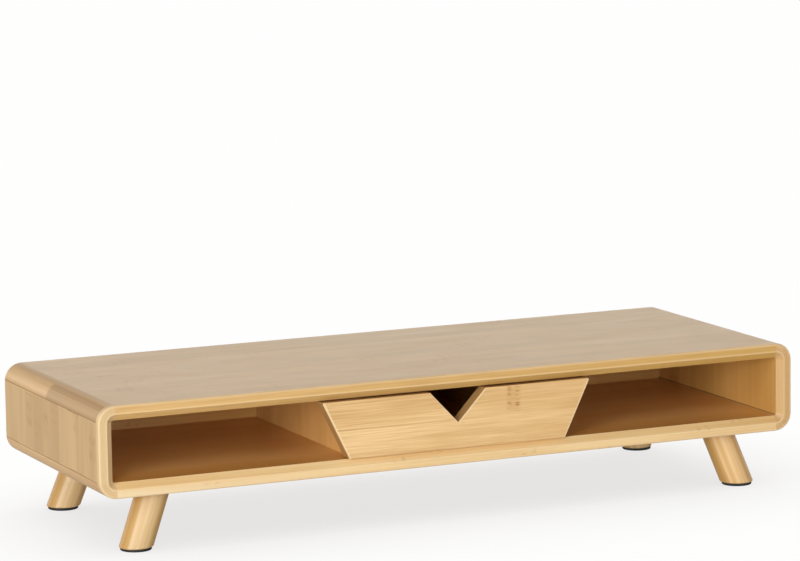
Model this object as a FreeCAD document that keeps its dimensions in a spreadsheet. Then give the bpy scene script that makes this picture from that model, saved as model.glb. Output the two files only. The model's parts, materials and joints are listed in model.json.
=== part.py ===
import FreeCAD, Part
import os
import Sketcher
from FreeCAD import Vector

# Monitor stand with drawer, in millimetres.
# The origin is on the table under the middle of the stand, +X to the right, +Z up.
# The open side with the drawer faces -Y.
doc = FreeCAD.newDocument("monitor_stand_with_drawer")

# Driving dimensions: name, value and what it measures.
DIMENSIONS = [
    ("case_length", 600, "outside length of the case"),
    ("case_depth", 220, "outside depth of the case, front to back"),
    ("case_height", 72, "outside height of the case without its legs"),
    ("board_thickness", 12, "top, bottom and side boards"),
    ("corner_radius", 14, "outside radius of the four long corners"),
    ("inner_corner_radius", 2, "cove inside each long corner"),
    ("corner_block_width", 14, "seam from the end of the case, on the top and bottom"),
    ("corner_block_height", 12.4, "seam from the top or the underside, on the end boards"),
    ("bevel_height", 5, "bevel round the front opening, measured on the front face"),
    ("bevel_depth", 4.4, "bevel round the front opening, measured into the case"),
    ("edge_easing", 0.8, "small chamfer on the outside edges, front and back"),
    ("back_panel_thickness", 6, "back panel"),
    ("back_recess", 8, "back panel in from the back edge of the case"),
    ("back_groove_depth", 4, "groove that holds the back panel"),
    ("spline_thickness", 3, "hidden tongue between a board and a corner block"),
    ("spline_width", 8, "the same tongue, across the joint"),
    ("spline_front_stop", 12, "tongues stop this far behind the front"),
    ("spline_back_stop", 4, "tongues stop this far before the back panel"),
    ("divider_thickness", 10, "upright divider"),
    ("divider_housing_depth", 3, "housings in the top and bottom boards that hold a divider"),
    ("bay_width", 156, "clear width of the drawer bay between the dividers"),
    ("drawer_seat_gap", 0.3, "closed drawer front to the front edges of the dividers"),
    ("front_thickness", 12, "drawer front"),
    ("front_overlap", 5.5, "lower edge of the drawer front past the outside of a divider, at each end"),
    ("front_flare", 22.5, "upper edge of the drawer front past its lower edge, at each end"),
    ("front_top_gap", 1.3, "drawer front to the top board"),
    ("front_floor_gap", 0.4, "drawer front to the bottom board"),
    ("front_corner_rounding", 1.2, "corners of the drawer front seen from the front"),
    ("front_edge_easing", 0.5, "small chamfer round the face of the drawer front"),
    ("notch_width", 48, "finger notch along the top edge"),
    ("notch_depth", 25.5, "finger notch from the top edge to its point"),
    ("drawer_side_gap", 1, "drawer box to a divider, on each side"),
    ("drawer_running_gap", 0.3, "drawer box over the bottom board"),
    ("drawer_side_thickness", 10, "sides and back of the drawer box"),
    ("drawer_side_height", 36, "sides and back of the drawer box"),
    ("drawer_back_gap", 14, "closed drawer box to the back panel"),
    ("drawer_bottom_thickness", 3, "thin bottom sheet of the drawer"),
    ("drawer_bottom_lift", 5, "bottom sheet above the lower edge of the sides"),
    ("drawer_groove_depth", 3.5, "groove for the bottom sheet"),
    ("drawer_housing_depth", 3, "housings in the drawer sides that hold the drawer back"),
    ("inner_edge_easing", 0.8, "small chamfer on the bare edges of the dividers and the drawer box"),
    ("dowel_diameter", 6, "dowels between the drawer front and sides"),
    ("dowel_length", 20, "the same dowels"),
    ("dowel_in_front", 8, "length of a dowel inside the drawer front"),
    ("drawer_dowel_low", 15, "lower dowel of a drawer side above its lower edge"),
    ("drawer_dowel_pitch", 14, "between the two dowels of a drawer side"),
    ("pin_clearance", 0.05, "dowels, bolts and inserts to their holes, on the radius"),
    ("hole_spare_depth", 0.5, "depth of a blind hole past the end of its pin"),
    ("leg_height", 46, "table to the underside of the case"),
    ("leg_diameter", 25.5, "round leg, square to its own axis"),
    ("leg_splay_side", 21, "lean of a leg towards the end of the case, in degrees"),
    ("leg_splay_depth", 5, "lean of a leg towards the front or back, in degrees"),
    ("leg_rim_chamfer", 0.8, "chamfer round the foot of a leg"),
    ("front_leg_from_end", 54, "middle of a front leg at the underside, from the end"),
    ("front_leg_from_front", 29, "middle of a front leg at the underside, from the front"),
    ("rear_leg_from_end", 56, "middle of a rear leg at the underside, from the end"),
    ("rear_leg_from_back", 26, "middle of a rear leg at the underside, from the back"),
    ("foot_pad_thickness", 2, "black pad under a leg"),
    ("foot_pad_diameter", 24.4, "black pad under a leg"),
    ("foot_pad_chamfer", 0.4, "chamfer round the lower rim of the pad"),
    ("bolt_diameter", 6, "hanger bolt that holds a leg"),
    ("bolt_in_leg", 18, "length of the hanger bolt in the leg"),
    ("bolt_in_board", 8, "length of the hanger bolt in the bottom board"),
    ("insert_diameter", 9, "threaded insert in the bottom board"),
    ("insert_length", 9, "threaded insert in the bottom board"),
]

sheet = doc.addObject("Spreadsheet::Sheet", "sizes")
for row, (alias, value, meaning) in enumerate(DIMENSIONS, start=1):
    sheet.set("A%d" % row, meaning)
    sheet.set("B%d" % row, str(value))
    sheet.setAlias("B%d" % row, alias)
doc.recompute()


def size(alias):
    """The value of one driving dimension."""
    return float(sheet.get(alias))


# Planes that the pieces share, as expressions of the driving dimensions.
END = "sizes.case_length / 2"
FRONT = "-sizes.case_depth / 2"
BACK = "sizes.case_depth / 2"
UNDERSIDE = "sizes.leg_height"
TOP = "sizes.leg_height + sizes.case_height"
FLOOR = "sizes.leg_height + sizes.board_thickness"
CEILING = "sizes.leg_height + sizes.case_height - sizes.board_thickness"
INNER_END = "sizes.case_length / 2 - sizes.board_thickness"
BACK_PANEL_BACK = "sizes.case_depth / 2 - sizes.back_recess"
BACK_PANEL_FRONT = "sizes.case_depth / 2 - sizes.back_recess - sizes.back_panel_thickness"
BAY_SIDE = "sizes.bay_width / 2"
DIVIDER_SIDE = "sizes.bay_width / 2 + sizes.divider_thickness"
FRONT_BACK = "-sizes.case_depth / 2 + sizes.front_thickness"
DIVIDER_FRONT = "-sizes.case_depth / 2 + sizes.front_thickness + sizes.drawer_seat_gap"
DRAWER_LOW = "sizes.leg_height + sizes.board_thickness + sizes.drawer_running_gap"
DRAWER_HIGH = DRAWER_LOW + " + sizes.drawer_side_height"
DRAWER_OUT = "sizes.bay_width / 2 - sizes.drawer_side_gap"
DRAWER_IN = "sizes.bay_width / 2 - sizes.drawer_side_gap - sizes.drawer_side_thickness"
DRAWER_BACK = BACK_PANEL_FRONT + " - sizes.drawer_back_gap"
DRAWER_BACK_INNER = DRAWER_BACK + " - sizes.drawer_side_thickness"
SHEET_LOW = DRAWER_LOW + " + sizes.drawer_bottom_lift"
SHEET_HIGH = SHEET_LOW + " + sizes.drawer_bottom_thickness"


def minus(expression):
    return "-(%s)" % expression


def box(name, x_ends, y_ends, z_ends):
    """A square-edged block between two expressions along each axis."""
    block = doc.addObject("Part::Box", name)
    ends = (("Length", "x", x_ends), ("Width", "y", y_ends), ("Height", "z", z_ends))
    for side, axis, (low, high) in ends:
        block.setExpression(side, "(%s) - (%s)" % (high, low))
        block.setExpression("Placement.Base." + axis, low)
    return block


def cylinder(name, radius, length, x, y, z):
    """An upright round bar that starts at the given place."""
    bar = doc.addObject("Part::Cylinder", name)
    bar.setExpression("Radius", radius)
    bar.setExpression("Height", length)
    for axis, place in (("x", x), ("y", y), ("z", z)):
        bar.setExpression("Placement.Base." + axis, place)
    return bar


def group(name, members):
    """Several separate solids that share one node."""
    compound = doc.addObject("Part::Compound", name)
    compound.Links = members
    return compound


def cut(name, base, tools):
    """A piece with the shapes of its tools taken out of it."""
    result = doc.addObject("Part::Cut", name)
    result.Base = base
    result.Tool = group(name + "_tools", tools) if len(tools) > 1 else tools[0]
    return result


def common(name, base, region):
    result = doc.addObject("Part::Common", name)
    result.Base = base
    result.Tool = region
    return result


# Two places closer than this are the same place.
FINE = 1e-4


def edge_names(shape, wanted):
    """Names of the edges for which wanted(edge) is true."""
    return ["Edge%d" % (index + 1) for index, edge in enumerate(shape.Edges) if wanted(edge)]


def runs_along(edge, direction):
    """True for a straight edge along the direction."""
    if not isinstance(edge.Curve, Part.Line):
        return False
    return abs(abs(edge.Curve.Direction.dot(direction)) - 1) < FINE


def lies_at(edge, axis, place):
    """True for an edge whose points all lie at one place along the axis."""
    low = getattr(edge.BoundBox, axis + "Min")
    high = getattr(edge.BoundBox, axis + "Max")
    return abs(low - place) < FINE and abs(high - place) < FINE


def outline(body, name, plane_role, outlines):
    """A sketch of closed straight-sided outlines; every corner is held by two expressions."""
    sketch = body.newObject("Sketcher::SketchObject", name)
    plane = [item for item in body.Origin.OriginFeatures if item.Role == plane_role][0]
    sketch.AttachmentSupport = [(plane, "")]
    sketch.MapMode = "FlatFace"
    for corners in outlines:
        first = sketch.GeometryCount
        places = [Vector(value_of(across), value_of(up), 0) for across, up in corners]
        for index, place in enumerate(places):
            following = places[(index + 1) % len(places)]
            sketch.addGeometry(Part.LineSegment(place, following), False)
        for index, (across, up) in enumerate(corners):
            line = first + index
            following = first + (index + 1) % len(corners)
            sketch.addConstraint(Sketcher.Constraint("Coincident", line, 2, following, 1))
            hold(sketch, line, "DistanceX", across, places[index].x)
            hold(sketch, line, "DistanceY", up, places[index].y)
    return sketch


def hold(sketch, line, direction, expression, value):
    """Ties the start of a line to the sheet along one direction."""
    if abs(value) < FINE:
        vertical_axis = -2
        sketch.addConstraint(Sketcher.Constraint("PointOnObject", line, 1, vertical_axis))
        return
    number = sketch.addConstraint(Sketcher.Constraint(direction, -1, 1, line, 1, value))
    sketch.setExpression("Constraints[%d]" % number, expression)


def value_of(expression):
    """The number that an expression of the sheet gives."""
    return float(sheet.evalExpression(expression.replace("sizes.", "")))


def pad(body, name, sketch, length, symmetric=False):
    feature = body.newObject("PartDesign::Pad", name)
    feature.Profile = sketch
    feature.setExpression("Length", length)
    feature.SideType = "Symmetric" if symmetric else "One side"
    sketch.Visibility = False
    doc.recompute()
    return feature


def dressed(body, kind, name, base, edges, **sizes_of_feature):
    """A fillet or chamfer on the named edges, with its sizes bound to the sheet."""
    feature = body.newObject("PartDesign::" + kind, name)
    feature.Base = (base, edges)
    for cell, expression in sizes_of_feature.items():
        feature.setExpression(cell, expression)
    doc.recompute()
    return feature


def chamfered(name, base, width_alias, wanted):
    """A piece with an even chamfer on the edges for which wanted(edge) is true."""
    doc.recompute()
    numbers = [index + 1 for index, edge in enumerate(base.Shape.Edges) if wanted(edge)]
    feature = doc.addObject("Part::Chamfer", name)
    feature.Base = base
    feature.Edges = [(number, size(width_alias), size(width_alias)) for number in numbers]
    return feature


# Case ring: one rounded, bevelled tube of board, from which the eight glued pieces are taken.
# The real case is glued up first and then rounded, so the seams run through the rounding.
END_PLACE = value_of(END)
FRONT_PLACE = value_of(FRONT)
BACK_PLACE = value_of(BACK)
X_AXIS = Vector(1, 0, 0)
Y_AXIS = Vector(0, 1, 0)
Z_AXIS = Vector(0, 0, 1)

ring = doc.addObject("PartDesign::Body", "case_ring")
ring_sketch = outline(ring, "ring_section", "XZ_Plane", [
    [(minus(END), UNDERSIDE), (END, UNDERSIDE), (END, TOP), (minus(END), TOP)],
    [(minus(INNER_END), FLOOR), (INNER_END, FLOOR), (INNER_END, CEILING), (minus(INNER_END), CEILING)],
])
ring_pad = pad(ring, "ring_length", ring_sketch, "sizes.case_depth", symmetric=True)


def at_side(edge, side):
    """True for an edge that lies at +side or -side across the stand."""
    return lies_at(edge, "X", side) or lies_at(edge, "X", -side)


outer_corners = edge_names(ring_pad.Shape, lambda e: runs_along(e, Y_AXIS) and at_side(e, END_PLACE))
ring_round = dressed(ring, "Fillet", "ring_corners", ring_pad, outer_corners, Radius="sizes.corner_radius")

inner_side = value_of(INNER_END)
inner_corners = edge_names(ring_round.Shape, lambda e: runs_along(e, Y_AXIS) and at_side(e, inner_side))
ring_cove = dressed(ring, "Fillet", "ring_coves", ring_round, inner_corners,
                    Radius="sizes.inner_corner_radius")


def on_opening(edge):
    """True for an edge of the clear opening through the case."""
    bounds = edge.BoundBox
    across = max(-bounds.XMin, bounds.XMax) <= inner_side + FINE
    return across and bounds.ZMin >= value_of(FLOOR) - FINE and bounds.ZMax <= value_of(CEILING) + FINE


def on_outline(edge):
    """True for an edge of the rounded outside of the case."""
    if isinstance(edge.Curve, Part.Circle):
        return abs(edge.Curve.Radius - size("corner_radius")) < FINE
    return (at_side(edge, END_PLACE) or lies_at(edge, "Z", value_of(TOP))
            or lies_at(edge, "Z", value_of(UNDERSIDE)))


front_opening = edge_names(ring_cove.Shape, lambda e: lies_at(e, "Y", FRONT_PLACE) and on_opening(e))
ring_bevel = ring.newObject("PartDesign::Chamfer", "opening_bevel")
ring_bevel.Base = (ring_cove, front_opening)
ring_bevel.ChamferType = "Two distances"
ring_bevel.FlipDirection = True
ring_bevel.setExpression("Size", "sizes.bevel_height")
ring_bevel.setExpression("Size2", "sizes.bevel_depth")
doc.recompute()

outer_rims = edge_names(ring_bevel.Shape, lambda e: on_outline(e)
                        and (lies_at(e, "Y", FRONT_PLACE) or lies_at(e, "Y", BACK_PLACE)))
ring_rims = dressed(ring, "Chamfer", "outside_rims", ring_bevel, outer_rims, Size="sizes.edge_easing")

# Groove round the inside of the ring for the back panel.
GROOVE = "sizes.back_groove_depth"
back_panel_ends = (
    ("%s - %s" % (minus(INNER_END), GROOVE), "%s + %s" % (INNER_END, GROOVE)),
    (BACK_PANEL_FRONT, BACK_PANEL_BACK),
    ("%s - %s" % (FLOOR, GROOVE), "%s + %s" % (CEILING, GROOVE)),
)
back_panel = box("back_panel", *back_panel_ends)
grooved_ring = cut("grooved_ring", ring, [box("back_groove", *back_panel_ends)])

# Hidden splines: a loose tongue runs across each of the eight seams of the ring.
# The seam stands this far in from the end of the case, and this far from its top and underside.
SEAM_X = "sizes.case_length / 2 - sizes.corner_block_width"
SEAM_HIGH = "sizes.leg_height + sizes.case_height - sizes.corner_block_height"
SEAM_LOW = "sizes.leg_height + sizes.corner_block_height"
HALF_SPLINE_WIDTH = "sizes.spline_width / 2"
HALF_SPLINE = "sizes.spline_thickness / 2"
HALF_BOARD = "sizes.board_thickness / 2"
SPLINE_ENDS = (FRONT + " + sizes.spline_front_stop", BACK_PANEL_FRONT + " - sizes.spline_back_stop")


def around(middle, half):
    """Both ends of a length centred on a place."""
    return ("%s - %s" % (middle, half), "%s + %s" % (middle, half))


def flat_spline(name, seam_x, board_middle):
    return box(name, around(seam_x, HALF_SPLINE_WIDTH), SPLINE_ENDS, around(board_middle, HALF_SPLINE))


def upright_spline(name, board_middle, seam_z):
    return box(name, around(board_middle, HALF_SPLINE), SPLINE_ENDS, around(seam_z, HALF_SPLINE_WIDTH))


TOP_MIDDLE = "%s - %s" % (TOP, HALF_BOARD)
BOTTOM_MIDDLE = "%s + %s" % (UNDERSIDE, HALF_BOARD)
END_MIDDLE = "%s - %s" % (END, HALF_BOARD)
splines = {
    "top_panel": [flat_spline("top_spline_left", minus(SEAM_X), TOP_MIDDLE),
                  flat_spline("top_spline_right", SEAM_X, TOP_MIDDLE)],
    "bottom_panel": [flat_spline("bottom_spline_left", minus(SEAM_X), BOTTOM_MIDDLE),
                     flat_spline("bottom_spline_right", SEAM_X, BOTTOM_MIDDLE)],
    "left_side_panel": [upright_spline("left_spline_low", minus(END_MIDDLE), SEAM_LOW),
                        upright_spline("left_spline_high", minus(END_MIDDLE), SEAM_HIGH)],
    "right_side_panel": [upright_spline("right_spline_low", END_MIDDLE, SEAM_LOW),
                         upright_spline("right_spline_high", END_MIDDLE, SEAM_HIGH)],
}
spline_groups = [group(panel + "_splines", pair) for panel, pair in splines.items()]

# The eight pieces of the ring, each taken from its own region of the finished section.
WIDE = (minus(SEAM_X), SEAM_X)
LEFT_END = (minus(END), minus(SEAM_X))
RIGHT_END = (SEAM_X, END)
THROUGH = (FRONT, BACK)
HIGH_BAND = (SEAM_HIGH, TOP)
LOW_BAND = (UNDERSIDE, SEAM_LOW)
MIDDLE_BAND = (SEAM_LOW, SEAM_HIGH)
ABOVE_MIDDLE = ("%s + %s" % (FLOOR, HALF_BOARD), TOP)
BELOW_MIDDLE = (UNDERSIDE, "%s - %s" % (CEILING, HALF_BOARD))
ring_regions = {
    "top_panel": (WIDE, ABOVE_MIDDLE),
    "bottom_panel": (WIDE, BELOW_MIDDLE),
    "left_side_panel": (LEFT_END, MIDDLE_BAND),
    "right_side_panel": (RIGHT_END, MIDDLE_BAND),
    "top_left_corner_block": (LEFT_END, HIGH_BAND),
    "top_right_corner_block": (RIGHT_END, HIGH_BAND),
    "bottom_left_corner_block": (LEFT_END, LOW_BAND),
    "bottom_right_corner_block": (RIGHT_END, LOW_BAND),
}

SPARE = "sizes.hole_spare_depth"
CLEARANCE = "sizes.pin_clearance"
SIDES = {"left": -1, "right": 1}


def sided(sign, expression):
    """The expression on the right of the stand, or its mirror place on the left."""
    return expression if sign > 0 else minus(expression)


def sided_ends(sign, near, far):
    """Both ends of a length on the right of the stand, or of its mirror on the left."""
    return (near, far) if sign > 0 else (minus(far), minus(near))


# Dividers: upright boards let into shallow housings in the top and bottom boards.
HOUSING = "sizes.divider_housing_depth"
dividers = []
for side, sign in SIDES.items():
    board = box(side + "_divider_board", sided_ends(sign, BAY_SIDE, DIVIDER_SIDE),
                (DIVIDER_FRONT, BACK_PANEL_FRONT),
                ("%s - %s" % (FLOOR, HOUSING), "%s + %s" % (CEILING, HOUSING)))
    dividers.append(chamfered(side + "_divider", board, "inner_edge_easing",
                              lambda e: lies_at(e, "Y", value_of(DIVIDER_FRONT)) and runs_along(e, Z_AXIS)))

# Legs: round bars that lean out both ways, cut level under the case and above the foot pads.
LEG_PLACES = {
    "front_left": (-1, -1, "sizes.front_leg_from_end", "sizes.front_leg_from_front"),
    "front_right": (1, -1, "sizes.front_leg_from_end", "sizes.front_leg_from_front"),
    "rear_left": (-1, 1, "sizes.rear_leg_from_end", "sizes.rear_leg_from_back"),
    "rear_right": (1, 1, "sizes.rear_leg_from_end", "sizes.rear_leg_from_back"),
}
SPREAD_X = "tan(sizes.leg_splay_side)"
SPREAD_Y = "tan(sizes.leg_splay_depth)"
SPREAD = "sqrt(%s ^ 2 + %s ^ 2)" % (SPREAD_X, SPREAD_Y)
LEG_RADIUS = "sizes.leg_diameter / 2"
BOLT_RADIUS = "sizes.bolt_diameter / 2"
INSERT_RADIUS = "sizes.insert_diameter / 2"
INSERT_BORE = "%s + %s" % (BOLT_RADIUS, CLEARANCE)
# The raw bar reaches a leg's width past both cuts.
BAR_DROP = "(sizes.leg_height + sizes.leg_diameter)"

leg_pieces = []
leg_bolts = []
leg_inserts = []
insert_holes = []
for corner, (sign_x, sign_y, from_end, from_edge) in LEG_PLACES.items():
    top_x = sided(sign_x, "%s - %s" % (END, from_end))
    top_y = sided(sign_y, "%s - %s" % (BACK, from_edge))
    bar = cylinder(corner + "_leg_bar", LEG_RADIUS,
                   "(%s + sizes.leg_diameter) * sqrt(1 + %s ^ 2)" % (BAR_DROP, SPREAD),
                   "%s + (%d) * %s * %s" % (top_x, sign_x, BAR_DROP, SPREAD_X),
                   "%s + (%d) * %s * %s" % (top_y, sign_y, BAR_DROP, SPREAD_Y),
                   "-sizes.leg_diameter")
    bar.setExpression("Placement.Rotation.Axis.x", "(%d) * %s" % (sign_y, SPREAD_Y))
    bar.setExpression("Placement.Rotation.Axis.y", "(%d) * %s" % (-sign_x, SPREAD_X))
    bar.setExpression("Placement.Rotation.Axis.z", "0")
    bar.setExpression("Placement.Rotation.Angle", "atan(%s)" % SPREAD)
    level = box(corner + "_leg_level", (minus(END), END), THROUGH, ("sizes.foot_pad_thickness", UNDERSIDE))
    blank = common(corner + "_leg_blank", bar, level)
    rimmed = chamfered(corner + "_leg_rimmed", blank, "leg_rim_chamfer",
                       lambda e: lies_at(e, "Z", size("foot_pad_thickness")))

    bolt = cylinder(corner + "_leg_bolt", BOLT_RADIUS, "sizes.bolt_in_leg + sizes.bolt_in_board",
                    top_x, top_y, UNDERSIDE + " - sizes.bolt_in_leg")
    bolt_hole = cylinder(corner + "_leg_bolt_hole", INSERT_BORE, "sizes.bolt_in_leg + %s" % SPARE,
                         top_x, top_y, "%s - sizes.bolt_in_leg - %s" % (UNDERSIDE, SPARE))
    leg_pieces.append(cut(corner + "_leg", rimmed, [bolt_hole]))
    leg_bolts.append(bolt)

    sleeve = cylinder(corner + "_insert_sleeve", INSERT_RADIUS, "sizes.insert_length",
                      top_x, top_y, UNDERSIDE)
    sleeve_bore = cylinder(corner + "_insert_bore", INSERT_BORE, "sizes.insert_length",
                           top_x, top_y, UNDERSIDE)
    leg_inserts.append(cut(corner + "_insert", sleeve, [sleeve_bore]))
    insert_holes.append(cylinder(corner + "_insert_hole", "%s + %s" % (INSERT_RADIUS, CLEARANCE),
                                 "sizes.insert_length + %s" % SPARE, top_x, top_y, UNDERSIDE))

    # The pad is centred on the leg's own axis where the leg is cut above it.
    fall = "(sizes.leg_height - sizes.foot_pad_thickness)"
    disc = cylinder(corner + "_foot_disc", "sizes.foot_pad_diameter / 2", "sizes.foot_pad_thickness",
                    "%s + (%d) * %s * %s" % (top_x, sign_x, fall, SPREAD_X),
                    "%s + (%d) * %s * %s" % (top_y, sign_y, fall, SPREAD_Y), "0")
    leg_pieces.append(chamfered(corner + "_foot_pad", disc, "foot_pad_chamfer",
                                lambda e: lies_at(e, "Z", 0)))
leg_bolt_group = group("leg_hanger_bolts", leg_bolts)
leg_insert_group = group("leg_threaded_inserts", leg_inserts)

# Case pieces: each region of the ring, less its own joinery.
joinery = {
    "top_panel": splines["top_panel"] + dividers,
    "bottom_panel": splines["bottom_panel"] + dividers + insert_holes,
    "left_side_panel": splines["left_side_panel"],
    "right_side_panel": splines["right_side_panel"],
    "top_left_corner_block": [splines["top_panel"][0], splines["left_side_panel"][1]],
    "top_right_corner_block": [splines["top_panel"][1], splines["right_side_panel"][1]],
    "bottom_left_corner_block": [splines["bottom_panel"][0], splines["left_side_panel"][0]],
    "bottom_right_corner_block": [splines["bottom_panel"][1], splines["right_side_panel"][0]],
}
case_pieces = []
for piece, (x_ends, z_ends) in ring_regions.items():
    region = box(piece + "_region", x_ends, THROUGH, z_ends)
    blank = common(piece + "_blank", grooved_ring, region)
    case_pieces.append(cut(piece, blank, joinery[piece]))

# Drawer front: a board that narrows downwards, with a pointed finger notch in its top edge.
FRONT_LOW = "%s + sizes.front_floor_gap" % FLOOR
FRONT_HIGH = "%s - sizes.front_top_gap" % CEILING
HALF_BOTTOM = "%s + sizes.front_overlap" % DIVIDER_SIDE
HALF_TOP = "%s + sizes.front_flare" % HALF_BOTTOM
HALF_NOTCH = "sizes.notch_width / 2"
front_body = doc.addObject("PartDesign::Body", "drawer_front_board")
front_sketch = outline(front_body, "drawer_front_outline", "XZ_Plane", [[
    (minus(HALF_BOTTOM), FRONT_LOW), (HALF_BOTTOM, FRONT_LOW), (HALF_TOP, FRONT_HIGH),
    (HALF_NOTCH, FRONT_HIGH), ("0", FRONT_HIGH + " - sizes.notch_depth"),
    (minus(HALF_NOTCH), FRONT_HIGH), (minus(HALF_TOP), FRONT_HIGH),
]])
front_sketch.setExpression("AttachmentOffset.Base.z", "sizes.case_depth / 2 - sizes.front_thickness")
front_pad = pad(front_body, "drawer_front_thickness", front_sketch, "sizes.front_thickness")
outside_corners = edge_names(front_pad.Shape, lambda e: runs_along(e, Y_AXIS)
                             and abs(e.BoundBox.Center.x) > value_of(HALF_NOTCH) + FINE)
front_round = dressed(front_body, "Fillet", "drawer_front_corners", front_pad, outside_corners,
                      Radius="sizes.front_corner_rounding")
face_edges = edge_names(front_round.Shape, lambda e: lies_at(e, "Y", FRONT_PLACE))
front_eased = dressed(front_body, "Chamfer", "drawer_front_easing", front_round, face_edges,
                      Size="sizes.front_edge_easing")

# Drawer box: two sides with dowels into the front, a back between them and a thin bottom sheet.
GROOVE_REACH = "sizes.drawer_groove_depth"
sheet_half = "%s + %s" % (DRAWER_IN, GROOVE_REACH)
bottom_ends = ((minus(sheet_half), sheet_half),
               ("%s - %s" % (FRONT_BACK, GROOVE_REACH), "%s + %s" % (DRAWER_BACK_INNER, GROOVE_REACH)),
               (SHEET_LOW, SHEET_HIGH))
drawer_bottom = box("drawer_bottom", *bottom_ends)
bottom_groove = box("drawer_bottom_groove", *bottom_ends)
DRAWER_MIDDLE = "%s + sizes.drawer_side_thickness / 2" % DRAWER_IN
DOWEL_RADIUS = "sizes.dowel_diameter / 2"
DOWEL_START = FRONT_BACK + " - sizes.dowel_in_front"
DOWEL_LEVELS = {
    "low": DRAWER_LOW + " + sizes.drawer_dowel_low",
    "high": DRAWER_LOW + " + sizes.drawer_dowel_low + sizes.drawer_dowel_pitch",
}
ALONG_Y = FreeCAD.Rotation(Vector(1, 0, 0), -90)


def lying_bar(name, radius, length, x, y, z):
    """A round bar that runs back along +Y from the given place."""
    bar = cylinder(name, radius, length, x, y, z)
    bar.Placement = FreeCAD.Placement(bar.Placement.Base, ALONG_Y)
    return bar


back_board = box("drawer_back_board", ("%s - sizes.drawer_housing_depth" % minus(DRAWER_IN),
                                       "%s + sizes.drawer_housing_depth" % DRAWER_IN),
                 (DRAWER_BACK_INNER, DRAWER_BACK), (DRAWER_LOW, DRAWER_HIGH))
eased_back = chamfered("drawer_back_eased", back_board, "inner_edge_easing",
                       lambda e: lies_at(e, "Z", value_of(DRAWER_HIGH)) and runs_along(e, X_AXIS))
drawer_back = cut("drawer_back", eased_back, [bottom_groove])
drawer_sides = []
drawer_dowels = []
dowel_holes = []
for side, sign in SIDES.items():
    own_holes = []
    for level, z in DOWEL_LEVELS.items():
        name = "drawer_%s_dowel_%s" % (side, level)
        x = sided(sign, DRAWER_MIDDLE)
        drawer_dowels.append(lying_bar(name, DOWEL_RADIUS, "sizes.dowel_length", x, DOWEL_START, z))
        own_holes.append(lying_bar(name + "_hole", "%s + %s" % (DOWEL_RADIUS, CLEARANCE),
                                   "sizes.dowel_length + 2 * %s" % SPARE,
                                   x, "%s - %s" % (DOWEL_START, SPARE), z))
    dowel_holes += own_holes
    board = box("drawer_%s_board" % side, sided_ends(sign, DRAWER_IN, DRAWER_OUT),
                (FRONT_BACK, DRAWER_BACK), (DRAWER_LOW, DRAWER_HIGH))
    eased = chamfered("drawer_%s_eased" % side, board, "inner_edge_easing",
                      lambda e: lies_at(e, "Z", value_of(DRAWER_HIGH)) and runs_along(e, Y_AXIS))
    drawer_sides.append(cut("drawer_%s_side" % side, eased, own_holes + [bottom_groove, back_board]))
drawer_front = cut("drawer_front", front_body, dowel_holes + [bottom_groove])
drawer_dowel_group = group("drawer_front_dowels", drawer_dowels)

nodes = case_pieces + [back_panel] + dividers + spline_groups
nodes += leg_pieces + [leg_bolt_group, leg_insert_group]
nodes += [drawer_front] + drawer_sides + [drawer_back, drawer_bottom, drawer_dowel_group]

doc.recompute()
for item in doc.Objects:
    if "Invalid" in item.State or "Error" in item.State:
        raise RuntimeError("%s could not be made: %s" % (item.Label, item.State))
os.makedirs("parts", exist_ok=True)
for node in nodes:
    if node.Shape.isNull() or not node.Shape.isValid():
        raise RuntimeError("%s has no valid shape" % node.Label)
for node in nodes:
    node.Shape.exportStep("parts/%s.step" % node.Label)
    bounds = node.Shape.BoundBox
    print("%-30s solids %d volume %10.1f  x %.1f %.1f  y %.1f %.1f  z %.1f %.1f" % (
        node.Label, len(node.Shape.Solids), node.Shape.Volume, bounds.XMin, bounds.XMax,
        bounds.YMin, bounds.YMax, bounds.ZMin, bounds.ZMax))
print(len(nodes), "nodes")
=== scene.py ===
# %% [markdown]
# # Dressing a bamboo monitor stand
#
# The stand is a long low case with rounded ends, open at the front, on four short round legs that lean
# outwards. A drawer with a pointed finger notch sits in the middle bay.
#
# Every piece of it already exists as a CAD solid of the right size in the right place. This lesson gives
# those pieces the finish of real bamboo, the small rounded edges that catch the light, and the threads of
# the leg bolts.

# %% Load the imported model
import json
from math import cos, radians, sin

import bmesh
import bpy
from mathutils import Matrix, Quaternion, Vector

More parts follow.
